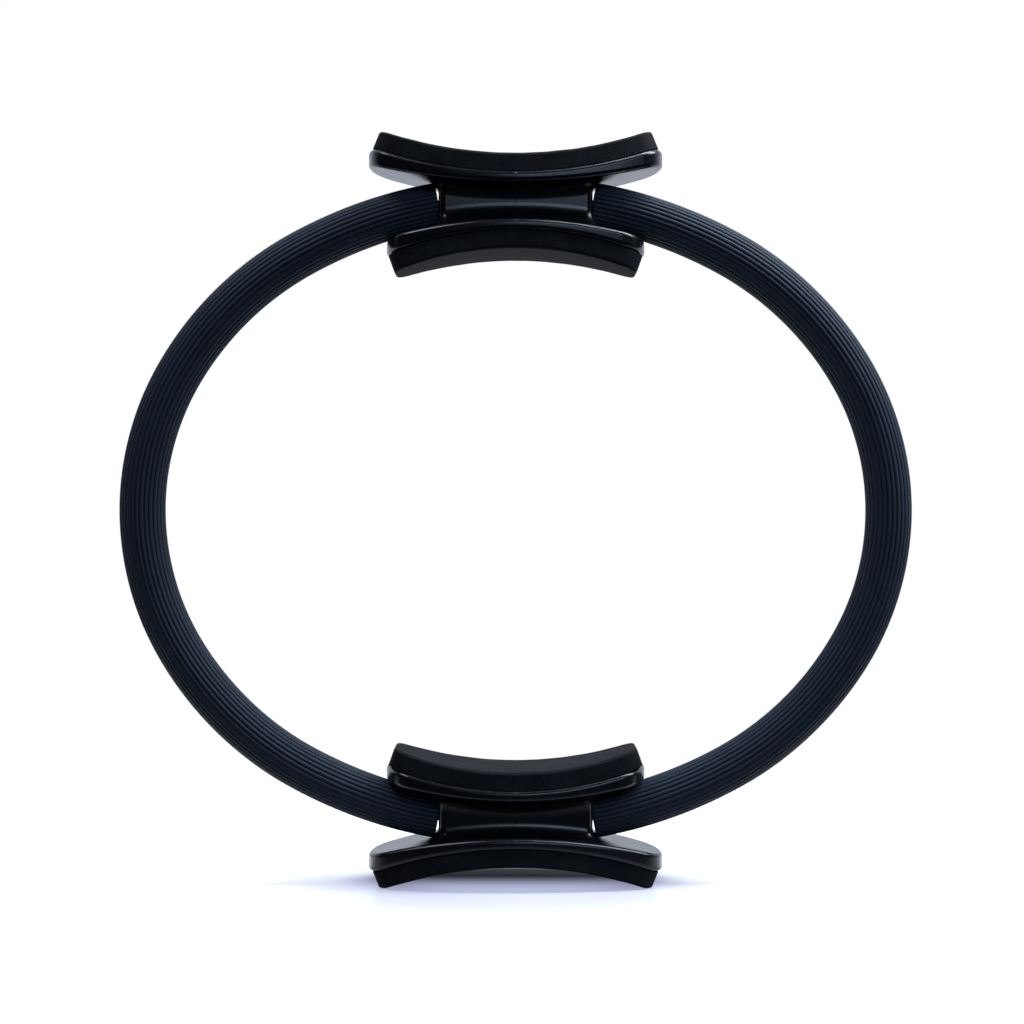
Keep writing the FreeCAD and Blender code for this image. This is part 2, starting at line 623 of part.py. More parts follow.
def join(kind, name, base, tool):
    shape = doc.addObject(kind, name)
    shape.Base = base
    shape.Tool = tool
    return shape


def bolt(name, place):
    under_head = "sizes.washer_seat + sizes.washer_thickness"
    head = cylinder(f"{name}_head", "sizes.bolt_head_diameter / 2", "sizes.bolt_head_height", place,
                    under_head)
    shank = cylinder(f"{name}_shank", "sizes.bolt_diameter / 2", "sizes.bolt_length", place,
                     f"{under_head} - sizes.bolt_length")
    socket = hexagon(f"{name}_socket", "sizes.socket_across_flats", "sizes.socket_depth", place,
                     f"{under_head} + sizes.bolt_head_height - sizes.socket_depth")
    return join("Part::Cut", name, join("Part::Fuse", f"{name}_blank", head, shank), socket)


def washer(name, place):
    disc = cylinder(f"{name}_disc", "sizes.washer_diameter / 2", "sizes.washer_thickness", place,
                    "sizes.washer_seat")
    hole = cylinder(f"{name}_hole", "sizes.bolt_diameter / 2 + sizes.thread_clearance",
                    "sizes.washer_thickness", place, "sizes.washer_seat")
    return join("Part::Cut", name, disc, hole)


def nut(name, place):
    low = "-sizes.nut_seat - sizes.nut_height"
    block = hexagon(f"{name}_block", "sizes.nut_across_flats", "sizes.nut_height", place, low)
    hole = cylinder(f"{name}_hole", "sizes.bolt_diameter / 2 + sizes.thread_clearance", "sizes.nut_height",
                    place, low)
    return join("Part::Cut", name, block, hole)


def fastener_pair(handle, label, make):
    """The two like fasteners of a handle, as one node of two solids."""
    pair = doc.addObject("Part::Compound", f"{handle}_{label}")
    pair.Label = f"{handle}_{label}"
    places = {"left": "-sizes.bolt_spacing / 2", "right": "sizes.bolt_spacing / 2"}
    pair.Links = [make(f"{handle}_{side}_{make.__name__}", place) for side, place in places.items()]
    subparts.append(pair)
    put_handle(pair, handle == "upper", handle == "upper")


for side in ("left", "right"):
    spring_band(side)
    foam_sleeve(side)
for handle in ("upper", "lower"):
    handle_body(handle)
    for name in ("outer", "inner"):
        foam_pad(handle, name)
        bonding_sheet(handle, name)
    fastener_pair(handle, "retaining_bolts", bolt)
    fastener_pair(handle, "bolt_washers", washer)
    fastener_pair(handle, "retaining_nuts", nut)
doc.recompute()

for item in doc.Objects:
    if "Invalid" in item.State or "Error" in item.State:
        raise RuntimeError(f"{item.Label} failed: {item.State}")
for piece in subparts:
    if piece.Shape.isNull() or not piece.Shape.isValid():
        raise RuntimeError(f"{piece.Label} has no valid shape")

os.makedirs("parts", exist_ok=True)
for piece in subparts:
    piece.Shape.exportStep(f"parts/{piece.Label}.step")
    print(f"{piece.Label}: {len(piece.Shape.Solids)} solids, {piece.Shape.Volume / 1000:.2f} cm3")
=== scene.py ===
import math

import bmesh
import bpy
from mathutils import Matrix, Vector, noise


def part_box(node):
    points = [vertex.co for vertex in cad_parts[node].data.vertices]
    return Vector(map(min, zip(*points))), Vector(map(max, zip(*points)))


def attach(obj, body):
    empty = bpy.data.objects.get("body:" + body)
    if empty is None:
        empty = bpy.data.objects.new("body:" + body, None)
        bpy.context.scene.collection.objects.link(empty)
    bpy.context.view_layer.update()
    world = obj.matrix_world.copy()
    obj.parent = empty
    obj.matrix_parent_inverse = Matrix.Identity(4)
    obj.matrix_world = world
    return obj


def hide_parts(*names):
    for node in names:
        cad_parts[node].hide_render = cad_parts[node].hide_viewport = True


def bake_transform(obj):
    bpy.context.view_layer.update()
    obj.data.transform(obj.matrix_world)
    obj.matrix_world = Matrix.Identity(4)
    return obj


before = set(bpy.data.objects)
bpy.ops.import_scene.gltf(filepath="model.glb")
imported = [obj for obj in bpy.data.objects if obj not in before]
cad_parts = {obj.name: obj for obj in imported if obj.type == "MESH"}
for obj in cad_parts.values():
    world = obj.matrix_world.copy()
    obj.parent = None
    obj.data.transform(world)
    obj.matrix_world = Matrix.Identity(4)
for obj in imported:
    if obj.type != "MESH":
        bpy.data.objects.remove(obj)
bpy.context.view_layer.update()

# Spring bands: a curved strip of black fibreglass runs inside each side of the ring and gives it its spring.
# The strip is pulled through a die with its fibres lengthwise, formed to the oval, and drilled at both ends
# for the bolts that hold it in the handles.
CROWN_RADIUS, SHOULDER_RADIUS, SIDE_RADIUS = 0.213, 0.154, 0.131
CROWN_END, SHOULDER_END = math.radians(28.5), math.radians(59.6)
RING_HALF_HEIGHT = (CROWN_RADIUS * (1 - math.cos(CROWN_END))
                    + SHOULDER_RADIUS * (math.cos(CROWN_END) - math.cos(SHOULDER_END))
                    + SIDE_RADIUS * math.cos(SHOULDER_END))
sleeve_low, sleeve_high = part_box("right_foam_sleeve")
RING_CENTRE = (sleeve_low.z + sleeve_high.z) / 2
BAND_WIDTH, BAND_THICKNESS, BAND_END = 0.016, 0.003, 0.007
BAND_EDGE_ROUND = 0.0007
BAND_STEP = 0.003
BOLT_PLACE, BAND_HOLE_RADIUS = 0.018, 0.0023
DRILL_LENGTH, DRILL_FACETS = 2.2 * RING_HALF_HEIGHT, 40
SHARP_EDGE = math.radians(45)
SIDES = {"right": 1, "left": -1}


def ring_line(first_x, step):
    """Places along one side of the ring, from the upper handle to the lower: x, z and lean."""
    first = math.asin(first_x / CROWN_RADIUS)
    leans = [first, CROWN_END, SHOULDER_END]
    leans += [math.pi - lean for lean in reversed(leans)]
    radii = [CROWN_RADIUS, SHOULDER_RADIUS, SIDE_RADIUS, SHOULDER_RADIUS, CROWN_RADIUS]
    x = CROWN_RADIUS * math.sin(first)
    z = RING_CENTRE + RING_HALF_HEIGHT - CROWN_RADIUS * (1 - math.cos(first))
    places = [(x, z, first)]
    for radius, start, end in zip(radii, leans, leans[1:]):
        count = max(2, round(radius * (end - start) / step))
        for i in range(1, count + 1):
            lean = start + (end - start) * i / count
            places.append((x + radius * (math.sin(lean) - math.sin(start)),
                           z + radius * (math.cos(lean) - math.cos(start)), lean))
        x, z, lean = places[-1]
    return places


def ring_point(place, across, outward, side):
    """A point beside a place of the ring's line: across along the ring's axis, outward from its middle."""
    x, z, lean = place
    return (side * (x + outward * math.sin(lean)), side * across, z + outward * math.cos(lean))


def rounded_bar(half_across, half_out, corner, steps):
    """The outline of a bar with rounded edges, as pairs of across and outward."""
    outline = []
    for turn, sign_a, sign_o in ((0, 1, 1), (1, -1, 1), (2, -1, -1), (3, 1, -1)):
        for i in range(steps + 1):
            angle = math.pi / 2 * (turn + i / steps)
            outline.append((sign_a * (half_across - corner) + corner * math.cos(angle),
                            sign_o * (half_out - corner) + corner * math.sin(angle)))
    return outline


def loop_faces(loops, size, closed=False):
    """Quads between loops of points that follow one another."""
    faces = []
    pairs = [(i, i + 1) for i in range(loops - 1)] + ([(loops - 1, 0)] if closed else [])
    for a, b in pairs:
        for k in range(size):
            n = (k + 1) % size
            faces.append((a * size + k, a * size + n, b * size + n, b * size + k))
    return faces


def mesh_piece(name, points, faces, material):
    """A new piece of points and faces, smooth except at its sharp edges."""
    mesh = bpy.data.meshes.new(name)
    mesh.from_pydata(points, [], faces)
    form = bmesh.new()
    form.from_mesh(mesh)
    bmesh.ops.recalc_face_normals(form, faces=form.faces)
    form.to_mesh(mesh)
    form.free()
    mesh.shade_smooth()
    mesh.set_sharp_from_angle(angle=SHARP_EDGE)
    mesh.materials.append(material)
    piece = bpy.data.objects.new(name, mesh)
    bpy.context.scene.collection.objects.link(piece)
    return piece


def add_node(tree, kind, inputs=None, **settings):
    """A node with its settings, its inputs set to numbers or joined to another node's output."""
    made = tree.nodes.new(kind)
    for name, value in settings.items():
        setattr(made, name, value)
    for name, value in (inputs or {}).items():
        if isinstance(value, bpy.types.NodeSocket):
            tree.links.new(value, made.inputs[name])
        else:
            made.inputs[name].default_value = value
    return made


def new_finish(name):
    """An empty material with its surface shader: the node tree and the shader."""
    material = bpy.data.materials.new(name)
    material.use_nodes = True
    tree = material.node_tree
    tree.nodes.clear()
    shader = add_node(tree, "ShaderNodeBsdfPrincipled")
    add_node(tree, "ShaderNodeOutputMaterial", {"Surface": shader.outputs["BSDF"]})
    return material, tree, shader


def tone_ramp(tree, factor, stops):
    """Colours that follow one another along a value, as pairs of place and colour."""
    ramp = add_node(tree, "ShaderNodeValToRGB", {"Fac": factor})
    while len(ramp.color_ramp.elements) < len(stops):
        ramp.color_ramp.elements.new(0.5)
    for element, (place, colour) in zip(ramp.color_ramp.elements, stops):
        element.position = place
        element.color = (*colour, 1)
    return ramp.outputs["Color"]


def relief(tree, height, strength, depth, **more):
    """Fine relief on a surface, as the normal that it gives."""
    inputs = {"Height": height, "Strength": strength, "Distance": depth, **more}
    return add_node(tree, "ShaderNodeBump", inputs).outputs["Normal"]


band_finish, tree, shader = new_finish("band_fibreglass")
place = add_node(tree, "ShaderNodeTexCoord").outputs["Object"]
stretch = add_node(tree, "ShaderNodeMapping", {"Vector": place, "Scale": (40, 900, 40)})
fibres = add_node(tree, "ShaderNodeTexNoise", {"Vector": stretch.outputs["Vector"], "Scale": 6, "Detail": 4})
fibre_tone = tone_ramp(tree, fibres.outputs["Fac"],
                       [(0.3, (0.008, 0.008, 0.009)), (0.7, (0.03, 0.03, 0.032))])
tree.links.new(fibre_tone, shader.inputs["Base Color"])
tree.links.new(relief(tree, fibres.outputs["Fac"], 0.2, 0.0002), shader.inputs["Normal"])
shader.inputs["Roughness"].default_value = 0.42

outline = rounded_bar(BAND_WIDTH / 2, BAND_THICKNESS / 2, BAND_EDGE_ROUND, 3)
for side_name, side in SIDES.items():
    places = ring_line(BAND_END, BAND_STEP)
    points = [ring_point(station, across, outward, side) for station in places for across, outward in outline]
    faces = loop_faces(len(places), len(outline))
    faces.append(tuple(range(len(outline))))
    faces.append(tuple(range(len(points) - len(outline), len(points))))
    band = mesh_piece(f"{side_name}_band_strip", points, faces, band_finish)
    drill = bpy.data.objects.new("drill", bpy.data.meshes.new("drill"))
    form = bmesh.new()
    bmesh.ops.create_cone(form, cap_ends=True, segments=DRILL_FACETS, radius1=BAND_HOLE_RADIUS,
                          radius2=BAND_HOLE_RADIUS, depth=DRILL_LENGTH)
    bmesh.ops.translate(form, verts=form.verts, vec=(side * BOLT_PLACE, 0, RING_CENTRE))
    form.to_mesh(drill.data)
    form.free()
    bpy.context.scene.collection.objects.link(drill)
    drilling = band.modifiers.new("bolt_holes", "BOOLEAN")
    drilling.object = drill
    drilling.operation = "DIFFERENCE"
    drilling.solver = "EXACT"
    drilled = bpy.data.meshes.new_from_object(band.evaluated_get(bpy.context.evaluated_depsgraph_get()))
    band.modifiers.clear()
    band.data = drilled
    bpy.data.objects.remove(drill)
    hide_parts(f"{side_name}_spring_band")
    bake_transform(band)

# Foam sleeves: each side of the ring is covered by one tube of closed-cell foam rubber, extruded with rounded
# ribs along it, cut square at both ends and pushed over the band. Foam never comes out quite even, so
# the ribs wander and swell a little.
SLEEVE_END = 0.0369
SLEEVE_RADIUS, RIB_DEPTH, RIB_COUNT = 0.011, 0.0006, 30
RIB_POINTS, RIB_FULLNESS = 8, 2.6
SLEEVE_STEP = 0.0018
SLEEVE_EDGE = 0.0005
BORE_ACROSS, BORE_OUT = 0.0083, 0.0018
BORE_SQUARENESS, BORE_STRIDE = 9, 6
RIB_WANDER, RIB_SWELL = math.radians(1.3), 0.00012
WANDER_PITCH, SWELL_PITCH = 9, 22
# The grooves between the ribs are painted darker, a painted shade; the dust colour on upward faces is bluish
# and also paints a lighter sheen on the sleeve's tops.
GROOVE_PAINTED_SHADE, SLEEVE_DUST_AND_SHEEN = (0.006, 0.01, 0.019), (0.11, 0.17, 0.24)


def shader_group(name, inputs, outputs):
    """A shared effect: its node group with named inputs and outputs."""
    group = bpy.data.node_groups.new(name, "ShaderNodeTree")
    for label, value in inputs:
        socket = group.interface.new_socket(name=label, in_out="INPUT", socket_type="NodeSocketFloat")
        socket.default_value = value
    for label, kind in outputs:
        group.interface.new_socket(name=label, in_out="OUTPUT", socket_type=kind)
    return group, group.nodes.new("NodeGroupInput"), group.nodes.new("NodeGroupOutput")


def math_node(tree, operation, first, second=0.0):
    """A sum on two values, each a number or a node's output."""
    made = add_node(tree, "ShaderNodeMath", operation=operation)
    for i, value in enumerate((first, second)):
        if isinstance(value, bpy.types.NodeSocket):
            tree.links.new(value, made.inputs[i])
        else:
            made.inputs[i].default_value = value
    return made.outputs["Value"]


foam_cells, given, out = shader_group("foam_cells", [("Coarseness", 1500.0)],
                                      [("Height", "NodeSocketFloat"), ("Tone", "NodeSocketFloat")])
place = add_node(foam_cells, "ShaderNodeTexCoord").outputs["Object"]
cells = add_node(foam_cells, "ShaderNodeTexVoronoi", {"Vector": place, "Scale": given.outputs["Coarseness"]})
skin = add_node(foam_cells, "ShaderNodeTexNoise",
                {"Vector": place, "Scale": given.outputs["Coarseness"], "Detail": 5})
patches = add_node(foam_cells, "ShaderNodeTexNoise",
                   {"Vector": place, "Scale": 45.0, "Detail": 6, "Roughness": 0.65})
pitted = math_node(foam_cells, "ADD", math_node(foam_cells, "MULTIPLY", cells.outputs["Distance"], 0.6),
                   skin.outputs["Fac"])
foam_cells.links.new(pitted, out.inputs["Height"])
mottle = math_node(foam_cells, "ADD", math_node(foam_cells, "MULTIPLY", skin.outputs["Fac"], 0.45),
                   math_node(foam_cells, "MULTIPLY", patches.outputs["Fac"], 0.55))
foam_cells.links.new(mottle, out.inputs["Tone"])

settled_dust, given, out = shader_group("settled_dust", [("Amount", 0.3)], [("Dust", "NodeSocketFloat")])
facing = add_node(settled_dust, "ShaderNodeNewGeometry").outputs["Normal"]
upward = add_node(settled_dust, "ShaderNodeSeparateXYZ", {"Vector": facing}).outputs["Z"]
lying = add_node(settled_dust, "ShaderNodeMapRange", {"Value": upward, "From Min": 0.2, "From Max": 1.0})
place = add_node(settled_dust, "ShaderNodeTexCoord").outputs["Object"]
drift = add_node(settled_dust, "ShaderNodeTexNoise",
                 {"Vector": place, "Scale": 160.0, "Detail": 8, "Roughness": 0.7})
dusty = math_node(settled_dust, "MULTIPLY", lying.outputs["Result"], drift.outputs["Fac"])
dusty = math_node(settled_dust, "MULTIPLY", dusty, given.outputs["Amount"])
settled_dust.links.new(dusty, out.inputs["Dust"])


def use_group(tree, group, **values):
    """A shared effect placed in a material, with its own values."""
    made = add_node(tree, "ShaderNodeGroup", node_tree=group)
    for label, value in values.items():
        made.inputs[label].default_value = value
    return made


def mixed(tree, factor, first, second):
    """One colour passing into another along a value, each a colour or a node's output."""
    mix = add_node(tree, "ShaderNodeMix", {"Factor": factor}, data_type="RGBA")
    for socket, colour in ((mix.inputs[6], first), (mix.inputs[7], second)):
        if isinstance(colour, bpy.types.NodeSocket):
            tree.links.new(colour, socket)
        else:
            socket.default_value = (*colour, 1)
    return mix.outputs[2]


sleeve_finish, tree, shader = new_finish("sleeve_foam")
cells = use_group(tree, foam_cells, Coarseness=1400.0)
crest = add_node(tree, "ShaderNodeAttribute", attribute_name="rib_crest").outputs["Fac"]
foam_tone = tone_ramp(tree, cells.outputs["Tone"],
                      [(0.3, (0.016, 0.027, 0.05)), (0.7, (0.026, 0.042, 0.074))])
# Painted shade: the grooves between the ribs take a darker colour.
groove_shaded_tone = mixed(tree, crest, GROOVE_PAINTED_SHADE, foam_tone)
# Dust on upward faces, whose bluish colour is also a painted sheen on the sleeve's tops.
dust = use_group(tree, settled_dust, Amount=0.08).outputs["Dust"]
tree.links.new(mixed(tree, dust, groove_shaded_tone, SLEEVE_DUST_AND_SHEEN), shader.inputs["Base Color"])
tree.links.new(relief(tree, cells.outputs["Height"], 0.15, 0.0002), shader.inputs["Normal"])
shader.inputs["Roughness"].default_value = 0.6
shader.inputs["Specular IOR Level"].default_value = 0.3

around = RIB_COUNT * RIB_POINTS
for side_name, side in SIDES.items():
    places = ring_line(SLEEVE_END, SLEEVE_STEP)
    points, crests = [], []
    travelled = 0.0
    edge_rings = [(SLEEVE_EDGE * (1 - math.sin(t)), SLEEVE_EDGE * (1 - math.cos(t)))
                  for t in (0.0, math.pi / 6, math.pi / 3)]
    stations = [(places[0], inset, back) for inset, back in edge_rings]
    stations += [(station, 0.0, 0.0) for station in places[1:-1]]
    stations += [(places[-1], inset, -back) for inset, back in reversed(edge_rings)]
    before = None
    for (x, z, lean), inset, back in stations:
        x, z = x + back * math.cos(lean), z - back * math.sin(lean)
        if before is not None:
            travelled += math.hypot(x - before[0], z - before[1])
        before = (x, z)
        for k in range(around):
            across_rib = 2 * ((k % RIB_POINTS) / RIB_POINTS) - 1
            bulge = 1 - abs(across_rib) ** RIB_FULLNESS
            rib = k // RIB_POINTS
            wander = RIB_WANDER * noise.noise((travelled * WANDER_PITCH, side * 5.0, 2.0))
            swell = RIB_SWELL * noise.noise((travelled * SWELL_PITCH, rib * 0.7, side * 3.0))
            angle = 2 * math.pi * k / around + wander
            radius = SLEEVE_RADIUS - RIB_DEPTH * (1 - bulge) + swell - inset
            points.append(ring_point((x, z, lean), radius * math.cos(angle), radius * math.sin(angle), side))
            crests.append(bulge)
    outer_loops = len(stations)
    bore_places = places[::-BORE_STRIDE]
    if bore_places[-1] != places[0]:
        bore_places.append(places[0])
    for station in bore_places:
        for k in range(around):
            angle = 2 * math.pi * k / around
            c, s = math.cos(angle), math.sin(angle)
            across = BORE_ACROSS * math.copysign(abs(c) ** (2 / BORE_SQUARENESS), c)
            outward = BORE_OUT * math.copysign(abs(s) ** (2 / BORE_SQUARENESS), s)
            points.append(ring_point(station, across, outward, side))
            crests.append(0.5)
    faces = loop_faces(outer_loops + len(bore_places), around, closed=True)
    sleeve = mesh_piece(f"{side_name}_sleeve_foam", points, faces, sleeve_finish)
    rib_crest = sleeve.data.attributes.new("rib_crest", "FLOAT", "POINT")
    rib_crest.data.foreach_set("value", crests)
    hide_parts(f"{side_name}_foam_sleeve")
    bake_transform(sleeve)

# Handle bodies: each handle is one moulding of glossy black plastic, two curved plates with bead-like rims on
# a waist with hollow flanks. The mould's halves meet on the middle plane and leave a fine line there, and
# the polish is a little uneven.
HANDLES = ("upper", "lower")
HANDLE_DUST = (0.2, 0.21, 0.23)

moulded_gloss, given, out = shader_group("moulded_gloss", [("Smoothness", 0.2), ("Unevenness", 0.1)],
                                         [("Roughness", "NodeSocketFloat"), ("Height", "NodeSocketFloat")])
place = add_node(moulded_gloss, "ShaderNodeTexCoord").outputs["Object"]
flow = add_node(moulded_gloss, "ShaderNodeTexNoise",
                {"Vector": place, "Scale": 70.0, "Detail": 6, "Roughness": 0.6})
peel = add_node(moulded_gloss, "ShaderNodeTexNoise", {"Vector": place, "Scale": 900.0, "Detail": 3})
uneven = math_node(moulded_gloss, "MULTIPLY", flow.outputs["Fac"], given.outputs["Unevenness"])
uneven = math_node(moulded_gloss, "ADD", given.outputs["Smoothness"], uneven)
moulded_gloss.links.new(uneven, out.inputs["Roughness"])
moulded_gloss.links.new(peel.outputs["Fac"], out.inputs["Height"])

handle_finish, tree, shader = new_finish("handle_gloss_plastic")
gloss = use_group(tree, moulded_gloss, Smoothness=0.18, Unevenness=0.12)
place = add_node(tree, "ShaderNodeTexCoord").outputs["Object"]
flow = add_node(tree, "ShaderNodeTexNoise", {"Vector": place, "Scale": 30.0, "Detail": 5})
body_tone = tone_ramp(tree, flow.outputs["Fac"],
                      [(0.3, (0.0025, 0.0035, 0.006)), (0.7, (0.0045, 0.006, 0.01))])
dust = use_group(tree, settled_dust, Amount=0.015).outputs["Dust"]
tree.links.new(mixed(tree, dust, body_tone, HANDLE_DUST), shader.inputs["Base Color"])
tree.links.new(gloss.outputs["Roughness"], shader.inputs["Roughness"])
lengthwise = add_node(tree, "ShaderNodeSeparateXYZ", {"Vector": place}).outputs["X"]
from_middle = math_node(tree, "ABSOLUTE", lengthwise)
mould_line = add_node(tree, "ShaderNodeMapRange", {"Value": from_middle, "From Min": 0.00015,
                                                   "From Max": 0.0004, "To Min": 1.0, "To Max": 0.0})
peel_relief = relief(tree, gloss.outputs["Height"], 0.06, 0.0002)
line_relief = relief(tree, mould_line.outputs["Result"], 0.5, 0.0002, Normal=peel_relief)
tree.links.new(line_relief, shader.inputs["Normal"])
shader.inputs["IOR"].default_value = 1.5


def dress(node, material):
    """Gives a solid of the frame its finish."""
    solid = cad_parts[node].data
    solid.materials.clear()
    solid.materials.append(material)


for handle in HANDLES:
    dress(f"{handle}_handle_body", handle_finish)

# Fasteners: a steel bolt goes down through each band end, with a flat washer under its head and a hexagon nut
# in a recess below. They are zinc plated, and the pads cover them.
steel_finish, tree, shader = new_finish("fastener_zinc_steel")
place = add_node(tree, "ShaderNodeTexCoord").outputs["Object"]
turned = add_node(tree, "ShaderNodeMapping", {"Vector": place, "Scale": (300, 300, 4000)})
marks = add_node(tree, "ShaderNodeTexNoise", {"Vector": turned.outputs["Vector"], "Scale": 1.0, "Detail": 5})
tree.links.new(tone_ramp(tree, marks.outputs["Fac"], [(0.25, (0.42, 0.42, 0.43)), (0.75, (0.62, 0.62, 0.6))]),
               shader.inputs["Base Color"])
wear = add_node(tree, "ShaderNodeMapRange", {"Value": marks.outputs["Fac"], "To Min": 0.25, "To Max": 0.5})
tree.links.new(wear.outputs["Result"], shader.inputs["Roughness"])
tree.links.new(relief(tree, marks.outputs["Fac"], 0.15, 0.0001), shader.inputs["Normal"])
shader.inputs["Metallic"].default_value = 1.0

for handle in HANDLES:
    for fastener in ("retaining_bolts", "bolt_washers", "retaining_nuts"):
        dress(f"{handle}_{fastener}", steel_finish)

# Bonding sheets: a thin dark sheet of acrylic adhesive holds each pad on its seat. It is a little smaller
# than the pad, so it doesn't show.
bond_finish, tree, shader = new_finish("bonding_sheet_acrylic")
cells = use_group(tree, foam_cells, Coarseness=500.0)
bond_tone = tone_ramp(tree, cells.outputs["Tone"],
                      [(0.3, (0.02, 0.02, 0.021)), (0.7, (0.04, 0.04, 0.041))])
tree.links.new(bond_tone, shader.inputs["Base Color"])
tree.links.new(relief(tree, cells.outputs["Height"], 0.3, 0.0002), shader.inputs["Normal"])
shader.inputs["Roughness"].default_value = 0.55

for handle in HANDLES:
    for name in ("outer", "inner"):
        dress(f"{handle}_{name}_pad_adhesive", bond_finish)

# Foam pads: each is cut from a sheet of dense closed-cell foam and bent along its hollow seat, with ends
# square to the seat, small round corners and softened upper edges. The ring stands on the ends of its
# lowest pad, which are pressed flat there.
SEAT_RADIUS, BODY_HEIGHT = 0.180, 0.0275
PAD_BASE_RADIUS, PAD_THICKNESS = 0.1791, 0.0078
PAD_HALF_WIDTH, PAD_SIDE_RADIUS = 0.0278, 0.200
PAD_HALF_LENGTHS = {"outer": 0.0694, "inner": 0.0613}
PAD_CORNER, PAD_EDGE, PAD_CROWN = 0.008, 0.0013, 0.0004
PAD_SKIRT_WIDTH, PAD_SKIRT_DEPTH = 0.0024, 0.0008
PAD_UNEVEN, UNEVEN_PITCH = 0.00012, 120
PAD_STATIONS, PAD_LANES, PAD_EDGE_STEPS = 60, 24, 6
PAD_DUST = (0.2, 0.195, 0.19)
HANDLE_BELOW_CROWN = 0.00445
handle_middle = {}
for handle in HANDLES:
    up = 1 if handle == "upper" else -1
    handle_middle[handle] = RING_CENTRE + up * (RING_HALF_HEIGHT - HANDLE_BELOW_CROWN)

pad_finish, tree, shader = new_finish("pad_foam")
cells = use_group(tree, foam_cells, Coarseness=1700.0)
pad_tone = tone_ramp(tree, cells.outputs["Tone"],
                     [(0.4, (0.0075, 0.0085, 0.0115)), (0.6, (0.019, 0.0205, 0.0245))])
dust = use_group(tree, settled_dust, Amount=0.03).outputs["Dust"]
tree.links.new(mixed(tree, dust, pad_tone, PAD_DUST), shader.inputs["Base Color"])
tree.links.new(relief(tree, cells.outputs["Height"], 0.5, 0.0003), shader.inputs["Normal"])
shader.inputs["Roughness"].default_value = 0.75
shader.inputs["Specular IOR Level"].default_value = 0.06


def spread(count, edge, half):
    """Stations from one end to the other, closer together at the edges, where the foam is rounded."""
    near = [edge * (1 - math.cos(math.pi / 2 * i / PAD_EDGE_STEPS)) for i in range(PAD_EDGE_STEPS + 1)]
    run = [edge + (half - edge) * i / count for i in range(1, count + 1)]
    one = [half - d for d in near + run]
    return [-s for s in one] + list(reversed(one[:-1]))


def pad_piece(name, handle, half_length, outward):
    """One pad, as a grid over its face, a wall round it and a grid over its back."""
    stations = spread(PAD_STATIONS, PAD_EDGE, half_length)
    lanes = spread(PAD_LANES, PAD_EDGE, 1.0)
    points, faces = [], []
    middle = handle_middle[handle]
    seat_centre = BODY_HEIGHT / 2 + SEAT_RADIUS

    def half_width(s):
        """The pad's half width at a station, without and with its round corners."""
        bulged = PAD_HALF_WIDTH - PAD_SIDE_RADIUS + math.sqrt(PAD_SIDE_RADIUS ** 2 - s * s)
        past = abs(s) - (half_length - PAD_CORNER)
        if past <= 0:
            return bulged, bulged
        return bulged, bulged - PAD_CORNER + math.sqrt(max(PAD_CORNER ** 2 - past * past, 0))

    def edge_distance(s, y, bulged):
        """How far a spot lies inside the pad's edge."""
        qs, qy = abs(s) - (half_length - PAD_CORNER), abs(y) - (bulged - PAD_CORNER)
        outside = math.hypot(max(qs, 0), max(qy, 0)) + min(max(qs, qy), 0)
        return PAD_CORNER - outside

    def bent(s, y, height):
        """A spot on the flat sheet, bent along the seat and kept above the floor."""
        angle = s / PAD_BASE_RADIUS
        radius = PAD_BASE_RADIUS - height
        x, z = radius * math.sin(angle), seat_centre - radius * math.cos(angle)
        return (outward * x, y, max(middle + outward * z, 0.0))

    rows, columns = len(stations), len(lanes)
    for face in (True, False):
        for s in stations:
            bulged, half = half_width(s)
            for lane in lanes:
                y = lane * half
                if face:
                    d = min(max(edge_distance(s, y, bulged), 0), PAD_EDGE)
                    drop = PAD_EDGE - math.sqrt(PAD_EDGE ** 2 - (PAD_EDGE - d) ** 2)
                    crown = PAD_CROWN * (1 - (y / PAD_HALF_WIDTH) ** 2) - PAD_CROWN / 2
                    uneven = PAD_UNEVEN * noise.noise((s * UNEVEN_PITCH, y * UNEVEN_PITCH, middle * 50))
                    points.append(bent(s, y, PAD_THICKNESS - drop + crown + uneven))
                else:
                    under_rim = edge_distance(s, y, bulged) < PAD_SKIRT_WIDTH
                    points.append(bent(s, y, -PAD_SKIRT_DEPTH if under_rim else 0.0))
    half_count = rows * columns
    for i in range(rows - 1):
        for j in range(columns - 1):
            a, b = i * columns + j, i * columns + j + 1
            c, d = (i + 1) * columns + j + 1, (i + 1) * columns + j
            faces.append((a, b, c, d))
            faces.append(tuple(half_count + v for v in (d, c, b, a)))
    border = list(range(columns))
    border += [i * columns + columns - 1 for i in range(1, rows)]
    border += [(rows - 1) * columns + j for j in range(columns - 2, -1, -1)]
    border += [i * columns for i in range(rows - 2, 0, -1)]
    for k, a in enumerate(border):
        b = border[(k + 1) % len(border)]
        faces.append((a, half_count + a, half_count + b, b))
    return mesh_piece(name, points, faces, pad_finish)


for handle in HANDLES:
    for name, half_length in PAD_HALF_LENGTHS.items():
        outward = 1 if (handle == "upper") == (name == "outer") else -1
        pad = pad_piece(f"{handle}_{name}_pad_foam", handle, half_length, outward)
        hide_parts(f"{handle}_{name}_pad")
        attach(pad, "upper_handle" if handle == "upper" else "ring_base")

# Studio: the ring stands on a small polished white table in front of a white ground, with a painted shade
# under the lower pad and a painted bluish shade in the table's glow round the ring. A large soft box above on
# the right is the main light, smaller ones above on the left and beside the camera fill in, and the room
# behind the camera is dark.
TABLE_REACH = 0.42
# Size of the oval of painted shade under the lower pad.
PAINTED_SHADE_LENGTH, PAINTED_SHADE_DEPTH = 0.08, 0.058
# The table's dark colour: for light bounced off it, and the painted shade under the lower pad.
TABLE_WHITE, TABLE_BOUNCE_AND_PAINTED_SHADE = (0.56, 0.56, 0.56), (0.012, 0.013, 0.016)
